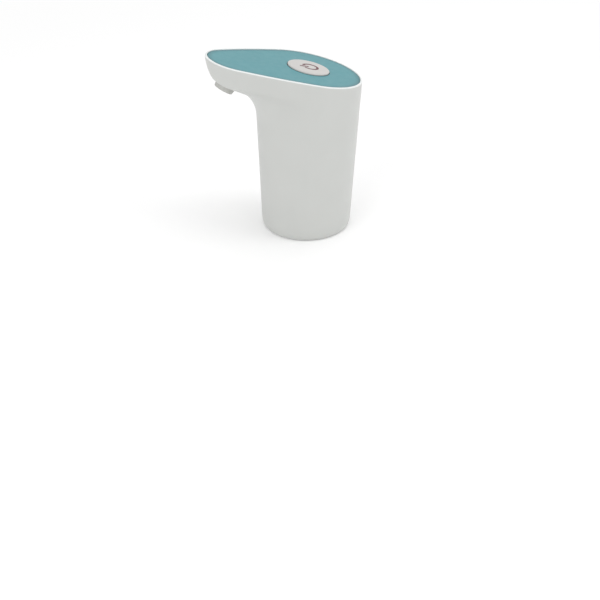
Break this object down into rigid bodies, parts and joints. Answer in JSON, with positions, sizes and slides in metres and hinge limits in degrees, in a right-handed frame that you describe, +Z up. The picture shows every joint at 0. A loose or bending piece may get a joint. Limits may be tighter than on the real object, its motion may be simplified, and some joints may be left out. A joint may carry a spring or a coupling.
{
  "type": "bottle water pump",
  "caption": "Battery water pump for a large bottle's neck: round housing blended into a beak with a nozzle, tilted top panel with a round button, diaphragm pump and motor inside.",
  "frame": {"origin": "centre of the base of the bounding box, in the plane of the base rim", "axes": "+Z up along the neck socket's axis, -X towards the beak and its nozzle, Y across"},
  "size_m": [0.1146, 0.0792, 0.1423],
  "materials": {
    "housing_white": "satin moulded",
    "panel_teal": "satin",
    "button_silver": "satin gloss",
    "collar_grey": "satin",
    "frame_plastic": "as moulded",
    "black_plastic": "as moulded",
    "silicone": "milky",
    "rubber": "matt",
    "steel": "bright",
    "dark_steel": "laminated iron and ferrite",
    "copper": "copper",
    "bronze": "sintered bronze",
    "board_green": "solder resist",
    "cell_sleeve": null,
    "light_clear": "milky clear",
    "wire_red": "wire insulation",
    "wire_black": "wire insulation"
  },
  "bodies": {
    "housing": {"battery_cell": "cell_sleeve", "battery_tab_negative": "steel", "battery_tab_positive": "steel", "board_screw_1": "steel", "board_screw_2": "steel", "charge_board": "board_green", "charge_light_pipe": "light_clear", "control_board": "board_green", "control_chip": "black_plastic", "diaphragm": "rubber", "head_cover": "black_plastic", "hose_clip_lower": "steel", "hose_clip_upper": "steel", "housing_shell": "housing_white", "inlet_hose": "silicone", "inlet_spigot": "frame_plastic", "inlet_valve_1": "silicone", "inlet_valve_2": "silicone", "inlet_valve_3": "silicone", "inner_frame": "frame_plastic", "motor_bearing_lower": "bronze", "motor_bearing_upper": "bronze", "motor_can": "steel", "motor_end_cap": "black_plastic", "motor_magnet_1": "dark_steel", "motor_magnet_2": "dark_steel", "motor_wire_1": "wire_red", "motor_wire_2": "wire_black", "neck_gasket": "silicone", "neck_socket": "frame_plastic", "nozzle_collar": "collar_grey", "nozzle_seal_ring": "rubber", "nozzle_tube": "steel", "outlet_hose": "silicone", "outlet_valve": "silicone", "pump_case": "black_plastic", "pump_screw_1": "steel", "pump_screw_2": "steel", "pump_screw_3": "steel", "socket_screw_1": "steel", "socket_screw_2": "steel", "socket_screw_3": "steel", "socket_screw_4": "steel", "spigot_washer": "rubber", "tact_switch_body": "black_plastic", "top_panel": "panel_teal", "usb_port_sleeve": "rubber", "usb_socket": "steel", "valve_plate": "frame_plastic"},
    "button": {"button_cap": "button_silver", "tact_switch_stem": "rubber"},
    "rotor": {"motor_armature": "dark_steel", "commutator": "copper", "motor_shaft": "steel", "eccentric_wheel": "black_plastic", "wobble_pin": "steel"},
    "wobbler": {"wobble_plate": "frame_plastic"}
  },
  "joints": [
    {"name": "button_press", "type": "slide", "parent": "housing", "child": "button", "axis": [-0.2368, 0, -0.9715], "range_m": [0, 0.0005], "stiffness_N_per_m": 2000, "springref_m": -0.0005},
    {"name": "motor_turn", "type": "hinge", "parent": "housing", "child": "rotor", "pos_m": [0.00985, 0, 0.0727], "axis": [0, 0, 1], "continuous": true},
    {"name": "wobble_turn", "type": "hinge", "parent": "rotor", "child": "wobbler", "pos_m": [0.00985, 0, 0.0667], "axis": [0.1219, 0, 0.9925], "continuous": true, "deforming": ["diaphragm"]}
  ],
  "couplings": [
    {"joint": "wobble_turn", "follows": "motor_turn", "ratio": -1}
  ]
}
